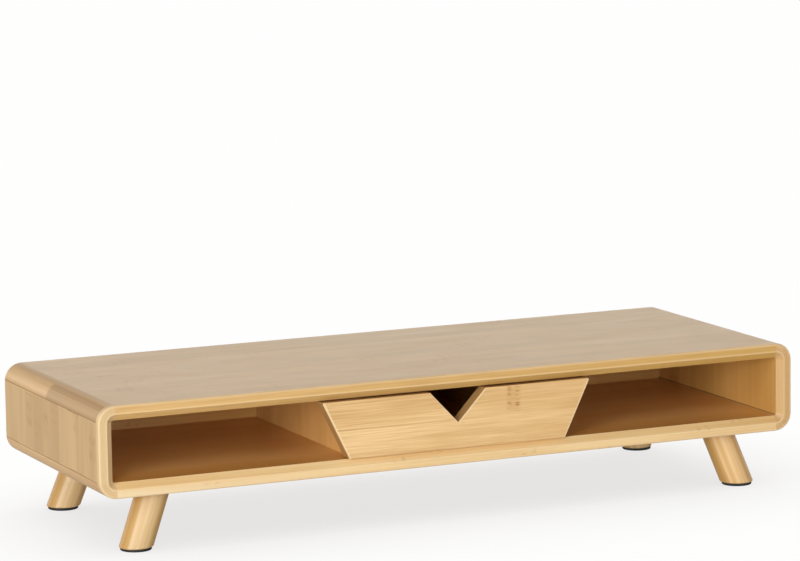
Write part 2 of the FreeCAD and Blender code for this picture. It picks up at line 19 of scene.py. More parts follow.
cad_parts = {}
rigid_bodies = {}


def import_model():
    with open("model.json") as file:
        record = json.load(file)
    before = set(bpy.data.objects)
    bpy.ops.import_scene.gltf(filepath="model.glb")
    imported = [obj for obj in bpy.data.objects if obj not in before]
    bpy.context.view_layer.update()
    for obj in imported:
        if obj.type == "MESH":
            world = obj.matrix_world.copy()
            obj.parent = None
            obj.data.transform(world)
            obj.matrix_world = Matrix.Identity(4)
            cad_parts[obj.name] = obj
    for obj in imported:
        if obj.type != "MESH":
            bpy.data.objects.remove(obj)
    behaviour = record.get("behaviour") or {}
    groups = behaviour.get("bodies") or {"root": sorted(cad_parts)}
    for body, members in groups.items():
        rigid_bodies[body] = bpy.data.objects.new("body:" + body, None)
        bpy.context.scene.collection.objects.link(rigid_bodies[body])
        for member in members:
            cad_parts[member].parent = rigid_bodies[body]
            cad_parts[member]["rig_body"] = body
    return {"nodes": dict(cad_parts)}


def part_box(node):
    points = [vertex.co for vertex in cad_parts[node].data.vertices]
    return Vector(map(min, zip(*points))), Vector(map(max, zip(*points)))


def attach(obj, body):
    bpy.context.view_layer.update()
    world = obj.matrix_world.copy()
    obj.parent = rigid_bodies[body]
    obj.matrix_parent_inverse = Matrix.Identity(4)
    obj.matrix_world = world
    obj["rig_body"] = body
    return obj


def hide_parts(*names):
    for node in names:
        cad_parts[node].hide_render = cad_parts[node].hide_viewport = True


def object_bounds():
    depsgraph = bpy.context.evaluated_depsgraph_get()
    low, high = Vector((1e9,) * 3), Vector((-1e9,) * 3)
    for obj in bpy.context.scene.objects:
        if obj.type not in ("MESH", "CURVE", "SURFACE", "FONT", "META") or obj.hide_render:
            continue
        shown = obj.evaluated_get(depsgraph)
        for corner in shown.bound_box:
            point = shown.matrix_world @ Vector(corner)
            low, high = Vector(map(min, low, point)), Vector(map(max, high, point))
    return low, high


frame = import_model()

MILLIMETRE = 0.001
cad_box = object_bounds()
print("pieces from CAD:", len(frame["nodes"]))
print("overall size in mm:", [round(side / MILLIMETRE, 1) for side in cad_box[1] - cad_box[0]])

# %% [markdown]
# ## The camera
#
# The picture to match was taken with a long lens, from a little above the desk and from the left.
# A long lens keeps the far end almost as tall as the near one. The camera could be aimed with a
# Track To constraint, but a constraint would fight with the other views, so the aim is worked out once
# from three angles: how far round the camera stood, how far down it looked, and how much it was tilted.

# %% Place the camera
CAMERA_PLACE = Vector((-1.28634, -2.86571, 0.65351))
CAMERA_ROUND = radians(24.186)
CAMERA_DOWN = radians(8.619)
CAMERA_TILT = radians(-0.872)
LENS_LENGTH = 177.085
FILM_WIDTH = 36.0
FARTHEST_SEEN = 50

UP = Vector((0, 0, 1))


def direction(round_angle, height_angle):
    """The way to a point so far round from the front, to the right, and so far up, as angles."""
    level = Quaternion(UP, round_angle) @ Vector((0, -1, 0))
    return level * cos(height_angle) + UP * sin(height_angle)


def put_in_scene(name, data, place, looks_along):
    """An object that looks along a direction, as cameras and lamps do."""
    thing = bpy.data.objects.new(name, data)
    thing.location = place
    thing.rotation_mode = "QUATERNION"
    thing.rotation_quaternion = looks_along.to_track_quat("-Z", "Y")
    bpy.context.scene.collection.objects.link(thing)
    return thing


camera_data = bpy.data.cameras.new("camera")
camera_data.lens = LENS_LENGTH
camera_data.sensor_width = FILM_WIDTH
camera_data.clip_end = FARTHEST_SEEN
aim = -direction(-CAMERA_ROUND, CAMERA_DOWN)
camera = put_in_scene("camera", camera_data, CAMERA_PLACE, aim)
camera.rotation_quaternion = camera.rotation_quaternion @ Quaternion((0, 0, 1), CAMERA_TILT)
bpy.context.scene.camera = camera
print("the camera looks along", [round(part, 3) for part in aim])

# %% [markdown]
# ## The floor
#
# The background reads as pure white, with one soft, even grey shadow right under the stand. A white
# floor that only reflects light goes almost black under so low a case, and it picks up the yellow of
# the bamboo. A light table doesn't: it glows by itself, and a shadow on it only takes away the light
# that comes from above. So this floor glows, and reflects just enough for a soft shadow.
#
# Light linking says which lamp lights what. The glow is kept to the floor itself, because its full
# strength would flood the legs from below. A wide panel of weaker light, which the camera doesn't see,
# lies on the floor and gives the stand the share of light that a sheet of white paper would.

# %% Lay the floor
FLOOR_REACH = 40
FLOOR_GREY = 0.10
FLOOR_GLOW = 0.755


def new_material(name):
    """A material, its node tree and its main shader."""
    material = bpy.data.materials.new(name)
    material.use_nodes = True
    return material, material.node_tree, material.node_tree.nodes["Principled BSDF"]


def mesh_piece(name, shape):
    """An object with its place in its mesh, made from a bmesh."""
    mesh = bpy.data.meshes.new(name)
    shape.to_mesh(mesh)
    shape.free()
    piece = bpy.data.objects.new(name, mesh)
    bpy.context.scene.collection.objects.link(piece)
    return piece


grid = bmesh.new()
bmesh.ops.create_grid(grid, x_segments=1, y_segments=1, size=FLOOR_REACH)
floor = mesh_piece("floor", grid)

floor_material, _, surface = new_material("light_table")
surface.inputs["Base Color"].default_value = (FLOOR_GREY, FLOOR_GREY, FLOOR_GREY, 1)
surface.inputs["Roughness"].default_value = 1.0
surface.inputs["Specular IOR Level"].default_value = 0.0
surface.inputs["Emission Color"].default_value = (1, 1, 1, 1)
surface.inputs["Emission Strength"].default_value = FLOOR_GLOW
floor.data.materials.append(floor_material)

only_floor = bpy.data.collections.new("only_the_floor")
only_floor.objects.link(floor)
floor.light_linking.receiver_collection = only_floor
all_but_floor = bpy.data.collections.new("all_but_the_floor")
all_but_floor.objects.link(floor)
all_but_floor.collection_objects[0].light_linking.link_state = "EXCLUDE"
print("the floor glows with", FLOOR_GLOW, "and reflects", FLOOR_GREY)

# %% [markdown]
# ## The lamps
#
# Four square lamps stand round the front, as in a small photo studio. Two low ones at the left reach
# deep into the open bays and light the walls that face them, while the back panels stay in brown shade.
# The third stands high at the left and lights the floor of the bays, and the fourth softens the fronts from
# the right. It is twice as wide as the others: with a narrow one, a white streak stood on the rounded corner
# in the view from behind. The first shares of the lamps were found by rendering each lamp alone and adding
# the pictures up. They were then adjusted.
#
# The paper panel lights from below. A very wide sun straight above lights only the floor, and casts its
# one soft shadow.

# %% Set the lamps
# Each lamp: degrees round, degrees up, power in watts, width in metres.
LAMPS = {"far_left_lamp": (-55, 7, 34, 1.0), "near_left_lamp": (-38, 9, 18, 1.0),
         "high_left_lamp": (-40, 35, 16.5, 1.0), "right_lamp": (20, 10, 31, 2.0)}
LAMP_DISTANCE = 3.0
PAPER_WIDTH = 6.0
PAPER_RADIANCE = 0.285
PAPER_HEIGHT = 0.5 * MILLIMETRE
PI = radians(180)
SUN_STRENGTH = 6.6
SUN_SPREAD = radians(110)


def area_lamp(name, width, power, place, looks_along):
    """A square lamp that lights everything but the floor."""
    data = bpy.data.lights.new(name, "AREA")
    data.size = width
    data.energy = power
    lamp = put_in_scene(name, data, place, looks_along)
    lamp.light_linking.receiver_collection = all_but_floor
    return lamp


for name, (round_degrees, height_degrees, power, width) in LAMPS.items():
    side = direction(radians(round_degrees), radians(height_degrees))
    lamp = area_lamp(name, width, power, side * LAMP_DISTANCE, -side)
    print(name, "stands at", [round(part, 2) for part in lamp.location])

# A lamp's radiance is its power divided by its area and by pi.
paper_power = PAPER_RADIANCE * PAPER_WIDTH ** 2 * PI
paper = area_lamp("paper_panel", PAPER_WIDTH, paper_power, UP * PAPER_HEIGHT, UP)
paper.visible_camera = False

sun_data = bpy.data.lights.new("shadow_sun", "SUN")
sun_data.energy = SUN_STRENGTH
sun_data.angle = SUN_SPREAD
sun = put_in_scene("shadow_sun", sun_data, UP, -UP)
sun.light_linking.receiver_collection = only_floor
print("lamps:", len(LAMPS), "and a paper panel and a sun")

# %% [markdown]
# ## Helpers for nodes
#
# The sky and the materials are networks of nodes. Writing each node, its settings and its links by hand
# takes several lines, so a few short helpers do that and give back the node's output.


# %% Helpers that add nodes
def add(tree, kind, inputs=None, **settings):
    """A new node. Its inputs are numbers, or outputs of other nodes, which get linked."""
    node = tree.nodes.new(kind)
    for setting, value in settings.items():
        setattr(node, setting, value)
    for socket, value in (inputs or {}).items():
        if isinstance(value, bpy.types.NodeSocket):
            tree.links.new(value, node.inputs[socket])
        else:
            node.inputs[socket].default_value = value
    return node


def calc(tree, operation, *values):
    """One step of arithmetic."""
    return add(tree, "ShaderNodeMath", dict(enumerate(values)), operation=operation).outputs[0]


def spread(tree, value, low, high, to_low=0.0, to_high=1.0):
    """The value moved from one range to another, and kept inside it."""
    inputs = {"Value": value, "From Min": low, "From Max": high, "To Min": to_low, "To Max": to_high}
    return add(tree, "ShaderNodeMapRange", inputs).outputs["Result"]


# The colour sockets of a Mix node by number: its names are shared by the sockets for other data.
MIX_FIRST, MIX_SECOND, MIX_RESULT = 6, 7, 2


def blend(tree, share, first, second):
    """Two colours mixed by a share."""
    inputs = {"Factor": share, MIX_FIRST: first, MIX_SECOND: second}
    return add(tree, "ShaderNodeMix", inputs, data_type="RGBA").outputs[MIX_RESULT]


# %% [markdown]
# ## The wall behind
#
# A warm white wall stands behind, bright at the bottom and dimmer above. At this low viewing angle the top
# board mirrors it, until its tan turns a silky grey. It could be a lit backdrop, but a sky that gets
# brighter towards the back needs no piece and casts no shadow. The rest of the room gives a little light
# from everywhere, so that the stand doesn't look dark from behind.

# %% Light the wall behind
LOW_LIGHT = 1.94
LOW_TOP = 0.22
HIGH_LIGHT = 0.68
HIGH_TOP = 0.60
FADE = 0.04
ROOM_LIGHT = 0.16
WALL_TINT = (1.0, 0.935, 0.83, 1)

sky = bpy.data.worlds.new("studio_sky")
sky.use_nodes = True
sky_tree = sky.node_tree
looking = add(sky_tree, "ShaderNodeTexCoord").outputs["Generated"]
rightwards, backwards, upwards = add(sky_tree, "ShaderNodeSeparateXYZ", {"Vector": looking}).outputs
low_part = spread(sky_tree, upwards, LOW_TOP, LOW_TOP + FADE, LOW_LIGHT - HIGH_LIGHT, 0.0)
high_part = spread(sky_tree, upwards, HIGH_TOP, HIGH_TOP + FADE, HIGH_LIGHT, 0.0)
wall = calc(sky_tree, "ADD", low_part, high_part)
brightness = calc(sky_tree, "MULTIPLY", wall, spread(sky_tree, backwards, -FADE, FADE))
brightness = calc(sky_tree, "MAXIMUM", brightness, ROOM_LIGHT)
background = sky_tree.nodes["Background"]
sky_tree.links.new(brightness, background.inputs["Strength"])
background.inputs["Color"].default_value = WALL_TINT
bpy.context.scene.world = sky
bpy.context.scene.view_settings.view_transform = "Standard"
print("the wall gives", LOW_LIGHT, "low down and", HIGH_LIGHT, "above, the room", ROOM_LIGHT)

# %% [markdown]
# ## Edges that a hand can touch
#
# No wooden edge is a knife edge. Before lacquering, every board is eased with sandpaper, and the round
# that this leaves catches a bright line of light. It can be faked with a Bevel shader node, but then the
# silhouette stays sharp and the exported mesh has nothing of it. Here each board and leg becomes a copy of
# its CAD mesh with bevelled edges. The hidden splines and dowels stay as they are.
#
# The CAD mesh comes as loose triangles, so its doubles are merged first, and flat neighbours are
# dissolved into whole faces. The seams of the case are left out: there the boards are glued together
# and sanded as one, so no groove runs between them.

# %% Ease the edges of a board
SHARPEST_CURVE = radians(28)
FLAT_ENOUGH = radians(0.5)
SAME_POINT = 0.002 * MILLIMETRE
IN_SEAM = 0.01 * MILLIMETRE
SEAM_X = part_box("top_panel")[1].x
SEAM_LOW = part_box("left_side_panel")[0].z
SEAM_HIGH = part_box("left_side_panel")[1].z


def in_seam(edge):
    """True where the whole edge lies in one of the planes in which the case is glued up."""
    first, second = (vertex.co for vertex in edge.verts)
    return any(
        abs(place(first)) < IN_SEAM and abs(place(second)) < IN_SEAM
        for place in (lambda point: abs(point.x) - SEAM_X, lambda point: point.z - SEAM_LOW,
                      lambda point: point.z - SEAM_HIGH))


def eased(node, width, segments=3, glued=False):
    """A copy of a CAD board with its convex edges rounded, which stands for that board."""
    shape = bmesh.new()
    shape.from_mesh(frame["nodes"][node].data)
    bmesh.ops.remove_doubles(shape, verts=shape.verts, dist=SAME_POINT)
    bmesh.ops.dissolve_limit(shape, angle_limit=FLAT_ENOUGH, verts=shape.verts, edges=shape.edges)
    corners = [edge for edge in shape.edges if edge.is_manifold and edge.is_convex
               and edge.calc_face_angle() > SHARPEST_CURVE and not (glued and in_seam(edge))]
    bmesh.ops.bevel(shape, geom=corners, offset=width, offset_type="OFFSET", segments=segments,
                    profile=0.5, affect="EDGES", material=-1, clamp_overlap=True)
    piece = mesh_piece(node + "_eased", shape)
    piece.data.shade_smooth()
    piece.data.set_sharp_from_angle(angle=SHARPEST_CURVE)
    piece.modifiers.new("flat_faces", "WEIGHTED_NORMAL").keep_sharp = True
    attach(piece, frame["nodes"][node]["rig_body"])
    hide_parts(node)
    return piece


# %% Ease every board and leg
CASE_EASE = 0.35 * MILLIMETRE
BOARD_EASE = 0.5 * MILLIMETRE
PANEL_EASE = 0.3 * MILLIMETRE
FRONT_EASE = 0.6 * MILLIMETRE
LEG_EASE = 0.5 * MILLIMETRE
LEGS = ("front_left", "front_right", "rear_left", "rear_right")
boards = {}
for node, slot in (("top_panel", "long_grain_bamboo"), ("bottom_panel", "long_grain_bamboo"),
                   ("left_side_panel", "upright_grain_bamboo"),
                   ("right_side_panel", "upright_grain_bamboo"),
                   ("top_left_corner_block", "corner_bamboo"), ("top_right_corner_block", "corner_bamboo"),
                   ("bottom_left_corner_block", "corner_bamboo"),
                   ("bottom_right_corner_block", "corner_bamboo")):
    boards[node] = eased(node, CASE_EASE, glued=True)
for node in ("left_divider", "right_divider", "drawer_left_side", "drawer_right_side", "drawer_back"):
    boards[node] = eased(node, BOARD_EASE, segments=2)
for node in ("back_panel", "drawer_bottom"):
    boards[node] = eased(node, PANEL_EASE, segments=2)
boards["drawer_front"] = eased("drawer_front", FRONT_EASE)
for corner in LEGS:
    boards[corner + "_leg"] = eased(corner + "_leg", LEG_EASE, segments=2)
print("pieces with eased edges:", len(boards))

# %% [markdown]
# ## The threads of the leg bolts
#
# Each leg hangs on a steel bolt: its lower part sits in the leg, its upper part in a threaded sleeve in
# the bottom board. The CAD has them as plain rods and tubes, because a thread doesn't change their size.
# A thread could be drawn as bump, but it would be lost in the exported mesh. Here it is cut as on a lathe:
# half an outline spun once round gives the rod or the tube, and a small triangle that climbs by one pitch
# with each turn gives the thread. Bridging two round rims in one plane would be another way to close the
# tube, but it can pair their points the wrong way round.

# %% Spin a round piece and a thread
THREAD_FOOT = 0.1 * MILLIMETRE
THREAD_STEPS = 20
ROUND_STEPS = 32
# The lower foot, the crest and the upper foot of a thread, as shares of its pitch.
THREAD_RISE = (0.15, 0.5, 0.85)


def outline(shape, middle, points, closed):
    """The vertices and edges of a line beside an upright axis, from distances and heights."""
    corners = [shape.verts.new((middle.x + out, middle.y, height)) for out, height in points]
    pairs = list(zip(corners, corners[1:])) + ([(corners[-1], corners[0])] if closed else [])
    return corners, [shape.edges.new(pair) for pair in pairs]


def turned(shape, middle, points, closed):
    """A round piece, spun from half its outline."""
    corners, edges = outline(shape, middle, points, closed)
    bmesh.ops.spin(shape, geom=corners + edges, cent=middle, axis=UP, angle=radians(360),
                   steps=ROUND_STEPS, use_merge=True)


def thread(shape, middle, low, radius, depth, pitch, turns):
    """A raised thread round an upright rod, from a height upwards."""
    foot = radius - depth - THREAD_FOOT
    points = [(out, low + rise * pitch) for out, rise in zip((foot, radius, foot), THREAD_RISE)]
    corners, edges = outline(shape, middle, points, closed=True)
    made = bmesh.ops.spin(shape, geom=corners + edges, cent=middle, axis=UP, angle=turns * radians(360),
                          dvec=UP * pitch / THREAD_STEPS, steps=turns * THREAD_STEPS)
    last = [piece for piece in made["geom_last"] if isinstance(piece, bmesh.types.BMEdge)]
    bmesh.ops.edgeloop_fill(shape, edges=edges)
    bmesh.ops.edgeloop_fill(shape, edges=last)


# %% Make the bolts and the sleeves
BOLT_RADIUS = 3.0 * MILLIMETRE
BOLT_PITCH = 1.5 * MILLIMETRE
BOLT_TURNS = 15
BOLT_THREAD = 0.6 * MILLIMETRE
BOLT_TIP = 0.4 * MILLIMETRE
SLEEVE_RADIUS = 4.5 * MILLIMETRE
SLEEVE_BORE = 3.05 * MILLIMETRE
SLEEVE_PITCH = 2.25 * MILLIMETRE
SLEEVE_TURNS = 3
SLEEVE_THREAD = 0.7 * MILLIMETRE
# Where the middle of each leg meets the bottom board, in millimetres to the right and to the back.
LEG_TOP_CENTRES = {"front_left": (-246, -81), "front_right": (246, -81),
                   "rear_left": (-244, 84), "rear_right": (244, 84)}


def steel_piece(node, shape):
    """The finished steel, which stands for the plain CAD node."""
    bmesh.ops.remove_doubles(shape, verts=shape.verts, dist=SAME_POINT)
    bmesh.ops.recalc_face_normals(shape, faces=shape.faces)
    volume = shape.calc_volume() / MILLIMETRE ** 3
    print(node, "faces:", len(shape.faces), "volume in cubic mm:", round(volume))
    piece = mesh_piece(node + "_threaded", shape)
    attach(piece, frame["nodes"][node]["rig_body"])
    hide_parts(node)
    return piece


bolt_low, bolt_high = (corner.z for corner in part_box("leg_hanger_bolts"))
sleeve_low, sleeve_high = (corner.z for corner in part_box("leg_threaded_inserts"))
core = BOLT_RADIUS - BOLT_THREAD
skin = SLEEVE_RADIUS - SLEEVE_THREAD
bolt_outline = ((0, bolt_low), (core - BOLT_TIP, bolt_low), (core, bolt_low + BOLT_TIP),
                (core, bolt_high - BOLT_TIP), (core - BOLT_TIP, bolt_high), (0, bolt_high))
sleeve_outline = ((SLEEVE_BORE, sleeve_low), (skin, sleeve_low), (skin, sleeve_high),
                  (SLEEVE_BORE, sleeve_high))
bolts = bmesh.new()
sleeves = bmesh.new()
for right, back in LEG_TOP_CENTRES.values():
    middle = Vector((right, back, 0)) * MILLIMETRE
    turned(bolts, middle, bolt_outline, closed=False)
    thread(bolts, middle, bolt_low + BOLT_PITCH / 2, BOLT_RADIUS, BOLT_THREAD, BOLT_PITCH, BOLT_TURNS)
    turned(sleeves, middle, sleeve_outline, closed=True)
    thread(sleeves, middle, sleeve_low, SLEEVE_RADIUS, SLEEVE_THREAD, SLEEVE_PITCH, SLEEVE_TURNS)
boards["leg_hanger_bolts"] = steel_piece("leg_hanger_bolts", bolts)
boards["leg_threaded_inserts"] = steel_piece("leg_threaded_inserts", sleeves)

# %% [markdown]
# ## What makes a surface look like bamboo
#
# Bamboo board isn't sawn from a trunk. The cane is split into strips, which are planed, glued side by
# side and stacked in layers. Five things tell the eye that it is bamboo: strips of slightly different
# tone, long soft streaks, fine fibres along each strip, hair-fine glue lines, and now and then a knuckle,
# a short row of brown dashes where the cane had a joint.
#
# An image could show all that, but it would repeat, and each piece would need unwrapping. Here a network
# of nodes works it out from the place of each point on the piece. A face and the edge beside it then
# show the same strip, as they do in real board.
#
# Some tones below follow the photo's own shading, such as the deeper floor of the bays and the gold sides
# of the legs. They were chosen by comparing renders with the photo, not from a sample of the wood.


# %% Colours and places
def colour(red, green, blue):
    """A colour from a colour picker, 0 to 255, as the linear light that the shaders reckon with."""
    def linear(step):
        share = step / 255
        return share / 12.92 if share < 0.04045 else ((share + 0.055) / 1.055) ** 2.4
    return (linear(red), linear(green), linear(blue), 1.0)


def xyz(tree):
    """Where a point lies in the stand: to the right, to the back and up."""
    place = add(tree, "ShaderNodeTexCoord").outputs["Object"]
    return add(tree, "ShaderNodeSeparateXYZ", {"Vector": place}).outputs


QUARTER = radians(90)
ALONG_X = (0, 0, 0)
ALONG_Y = (0, 0, -QUARTER)
ALONG_Z = (0, QUARTER, 0)


def streaks(tree, board, length, width, detail, seed):
    """Soft noise drawn out along the grain, from 0 to 1."""
    scale = (1 / length, 1 / width, 1 / width)
    drawn_out = add(tree, "ShaderNodeMapping", {"Vector": board, "Scale": scale}).outputs["Vector"]
    inputs = {"Vector": drawn_out, "Scale": 1.0, "Detail": detail, "W": seed}
    return add(tree, "ShaderNodeTexNoise", inputs, noise_dimensions="4D").outputs["Fac"]


# %% A knuckle at a chosen place
KNUCKLE_BROWN = colour(158, 102, 44)
KNUCKLE_GOLD = colour(178, 122, 54)
DASH = (3.4 * MILLIMETRE, 1.5 * MILLIMETRE)
RUNG = (14.0 * MILLIMETRE, 1.7 * MILLIMETRE)
BLOT = (9.0 * MILLIMETRE, 3.4 * MILLIMETRE)


def knuckle(tree, look, along, across, centre, reach, apart, strength, board, seed, marks=DASH,
            tint=KNUCKLE_BROWN):
    """Two rows of short brown marks across a strip, over a faint stain, about a centre (along, across)."""
    off = calc(tree, "ABSOLUTE", calc(tree, "SUBTRACT", along, centre[0]))
    row = calc(tree, "ABSOLUTE", calc(tree, "SUBTRACT", off, apart))
    row = spread(tree, row, 0.2 * apart, 0.8 * apart, 1.0, 0.0)
    aside = calc(tree, "ABSOLUTE", calc(tree, "SUBTRACT", across, centre[1]))
    inside = spread(tree, aside, reach - 2 * MILLIMETRE, reach + MILLIMETRE, 1.0, 0.0)
    dashes = spread(tree, streaks(tree, board, *marks, 1.0, seed), 0.44, 0.60)
    mark = calc(tree, "MULTIPLY", calc(tree, "MULTIPLY", row, inside), dashes)
    stain = calc(tree, "MULTIPLY", spread(tree, off, apart, 2.2 * apart, 0.22, 0.0), inside)
    return blend(tree, calc(tree, "MULTIPLY", calc(tree, "MAXIMUM", mark, stain), strength), look, tint)


# %% The joints of the cane
JOINT_APART = 270 * MILLIMETRE
JOINT_ROW = 4 * MILLIMETRE
JOINT_SHIFT = 7.3


def cane_joints(tree, look, board, along, strip_place, tone, strength):
    """The faint brown marks of the cane's joints, one row pair on each strip, each at a place of its own."""
    own_place = calc(tree, "MULTIPLY", tone, JOINT_SHIFT)
    cycle = calc(tree, "FRACT", calc(tree, "ADD", calc(tree, "DIVIDE", along, JOINT_APART), own_place))
    off = calc(tree, "MULTIPLY", calc(tree, "ABSOLUTE", calc(tree, "SUBTRACT", cycle, 0.5)), JOINT_APART)
    row = calc(tree, "ABSOLUTE", calc(tree, "SUBTRACT", off, JOINT_ROW))
    row = spread(tree, row, 0.5 * MILLIMETRE, 3 * MILLIMETRE, strength, 0.0)
    off_middle = calc(tree, "ABSOLUTE", calc(tree, "SUBTRACT", calc(tree, "FRACT", strip_place), 0.5))
    inside = spread(tree, off_middle, 0.36, 0.46, 1.0, 0.0)
    dashes = spread(tree, streaks(tree, board, *DASH, 1.0, tone), 0.45, 0.62)
    mark = calc(tree, "MULTIPLY", calc(tree, "MULTIPLY", row, inside), dashes)
    return blend(tree, mark, look, KNUCKLE_GOLD)


# %% The bamboo finish
# Each noise: its length along the grain and its width across it.
CLOUD = (150 * MILLIMETRE, 14 * MILLIMETRE)
BAND = (210 * MILLIMETRE, 2.2 * MILLIMETRE)
FIBRE = (22 * MILLIMETRE, 0.5 * MILLIMETRE)
GLUE_LINE = 0.35 * MILLIMETRE
GLUE_SHADE = (0.62, 0.52, 0.40)
FIBRE_DEPTH = 0.04 * MILLIMETRE
LACQUER_IOR = 1.5


def bamboo(name, turn, light, dark, strip=20 * MILLIMETRE, layer=4 * MILLIMETRE, start=(0, 0, 0),
           seed=0.0, strip_share=0.30, cloud=CLOUD, band=BAND, band_share=1.0, glue=0.30,
           fibre_share=0.30, joints=0.35, roughness=0.36, touch_up=None):
    """A board finish between two tones, with its grain turned along the piece."""
    material, tree, shader = new_material(name)
    place = add(tree, "ShaderNodeTexCoord").outputs["Object"]
    grainwise = add(tree, "ShaderNodeMapping", {"Vector": place, "Rotation": turn}).outputs["Vector"]
    board = add(tree, "ShaderNodeMapping", {"Vector": grainwise, "Location": start}).outputs["Vector"]
    along, across, through = add(tree, "ShaderNodeSeparateXYZ", {"Vector": board}).outputs

    # Each strip has a number, and by it a tone of its own.
    strip_place = calc(tree, "DIVIDE", across, strip)
    number = add(tree, "ShaderNodeCombineXYZ", {
        "X": calc(tree, "FLOOR", strip_place),
        "Y": calc(tree, "FLOOR", calc(tree, "DIVIDE", through, layer)), "Z": seed}).outputs[0]
    tone = add(tree, "ShaderNodeTexWhiteNoise", {"Vector": number}, noise_dimensions="3D").outputs["Value"]

    clouds = streaks(tree, board, *cloud, 2.0, calc(tree, "ADD", tone, seed))
    bands = streaks(tree, board, *band, 3.0, calc(tree, "ADD", tone, seed))
    fibres = streaks(tree, board, *FIBRE, 2.0, tone)

    # The tone of a point: its strip's own, with the soft noise on top.
    shade = calc(tree, "MULTIPLY", calc(tree, "SUBTRACT", tone, 0.5), strip_share)
    shade = calc(tree, "ADD", shade, calc(tree, "SUBTRACT", clouds, 0.5))
    shade = calc(tree, "ADD", shade, calc(tree, "MULTIPLY", calc(tree, "SUBTRACT", bands, 0.5), band_share))
    look = blend(tree, spread(tree, shade, -0.30, 0.30), dark, light)
    thin = spread(tree, fibres, 0.50, 0.72, 0.0, fibre_share)
    look = blend(tree, thin, look, dark)

    # Glue lines: dark, hair-fine, and lost in places.
    off_middle = calc(tree, "ABSOLUTE", calc(tree, "SUBTRACT", calc(tree, "FRACT", strip_place), 0.5))
    line = spread(tree, off_middle, 0.5 - GLUE_LINE / strip, 0.5, 0.0, glue)
    line = calc(tree, "MULTIPLY", line, spread(tree, clouds, 0.42, 0.56))
    deep = (*(part * share for part, share in zip(dark, GLUE_SHADE)), 1)
    look = blend(tree, line, look, deep)
    look = cane_joints(tree, look, board, along, strip_place, tone, joints)

    if touch_up:
        look = touch_up(tree, look, board, along, across)
    tree.links.new(look, shader.inputs["Base Color"])
    silk = spread(tree, bands, 0.3, 0.7, roughness - 0.04, roughness + 0.05)
    tree.links.new(silk, shader.inputs["Roughness"])
    bump = add(tree, "ShaderNodeBump", {"Height": fibres, "Strength": 0.25, "Distance": FIBRE_DEPTH})
    tree.links.new(bump.outputs["Normal"], shader.inputs["Normal"])
    shader.inputs["IOR"].default_value = LACQUER_IOR
    return material


# %% Give a piece its finish
def dress(material, *nodes):
    """The material becomes the only one of these pieces, each a finished piece or a CAD node."""
    for node in nodes:
        mesh = boards[node].data if node in boards else frame["nodes"][node].data
        mesh.materials.clear()
        mesh.materials.append(material)
    print(material.name, "on pieces:", len(nodes), "with nodes:", len(material.node_tree.nodes))


# %% [markdown]
# ## The long boards
#
# The top and the bottom are wide boards with the grain running from end to end. Their fronts show as the
# upper and lower strip of the case's rim. The bottom strip is the palest bamboo of the whole stand, and the
# upper one turns golden towards the right end. Inside the bays the bottom board gets painted shade: a slow
# change to a deeper tone behind the rim keeps the floor of the bays apart from the rim.

# %% The front rim
RIM_BACK = cad_box[0].y + 5 * MILLIMETRE
HALF_LENGTH = cad_box[1].x
CASE_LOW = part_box("bottom_panel")[0].z
CASE_MIDDLE = (CASE_LOW + cad_box[1].z) / 2
CORNER_ROUND = HALF_LENGTH - SEAM_X
CASE_HALF_HEIGHT = cad_box[1].z - CASE_MIDDLE
BEVEL_FROM_EDGE = 7 * MILLIMETRE
BEVEL_ROUND = 7 * MILLIMETRE
# The colour of the painted highlights along the edges of the rim and of the drawer front.
EDGE_HIGHLIGHT = colour(243, 214, 168)


def rim_share(tree):
    """1 on the front rim, falling to 0 a few millimetres behind it."""
    backwards = xyz(tree)[1]
    return spread(tree, backwards, RIM_BACK, RIM_BACK + MILLIMETRE, 1.0, 0.0)


def outside(tree, half_width, half_height, corner):
    """How far a point lies outside a rounded rectangle in the front, or inside, below 0."""
    rightwards, _, upwards = xyz(tree)
    off_middle = calc(tree, "ABSOLUTE", calc(tree, "SUBTRACT", upwards, CASE_MIDDLE))
    past_x = calc(tree, "SUBTRACT", calc(tree, "ABSOLUTE", rightwards), half_width - corner)
    past_z = calc(tree, "SUBTRACT", off_middle, half_height - corner)
    square_x = calc(tree, "POWER", calc(tree, "MAXIMUM", past_x, 0.0), 2.0)
    square_z = calc(tree, "POWER", calc(tree, "MAXIMUM", past_z, 0.0), 2.0)
    from_corner = calc(tree, "SQRT", calc(tree, "ADD", square_x, square_z))
    flat_part = calc(tree, "MINIMUM", calc(tree, "MAXIMUM", past_x, past_z), 0.0)
    return calc(tree, "SUBTRACT", calc(tree, "ADD", from_corner, flat_part), corner)


def rim_highlights(tree, look):
    """Painted highlights: lighter lines along the outer edges of the rim and along the line where its inner
    bevel starts.
    """
    backwards = xyz(tree)[1]
    behind_front = calc(tree, "SUBTRACT", backwards, cad_box[0].y)
    inwards = calc(tree, "MULTIPLY", outside(tree, HALF_LENGTH, CASE_HALF_HEIGHT, CORNER_ROUND), -1.0)
    from_edge = calc(tree, "ADD", inwards, behind_front)
    outer = spread(tree, from_edge, 0.9 * MILLIMETRE, 2.2 * MILLIMETRE, 0.45, 0.0)
    off_bevel = outside(tree, HALF_LENGTH - BEVEL_FROM_EDGE, CASE_HALF_HEIGHT - BEVEL_FROM_EDGE, BEVEL_ROUND)
    off_line = calc(tree, "ABSOLUTE", calc(tree, "SUBTRACT", off_bevel, 0.5 * MILLIMETRE))
    inner = spread(tree, off_line, 0.3 * MILLIMETRE, 1.0 * MILLIMETRE, 0.40, 0.0)
    inner = calc(tree, "MULTIPLY", inner, rim_share(tree))
    return blend(tree, calc(tree, "MAXIMUM", outer, inner), look, EDGE_HIGHLIGHT)
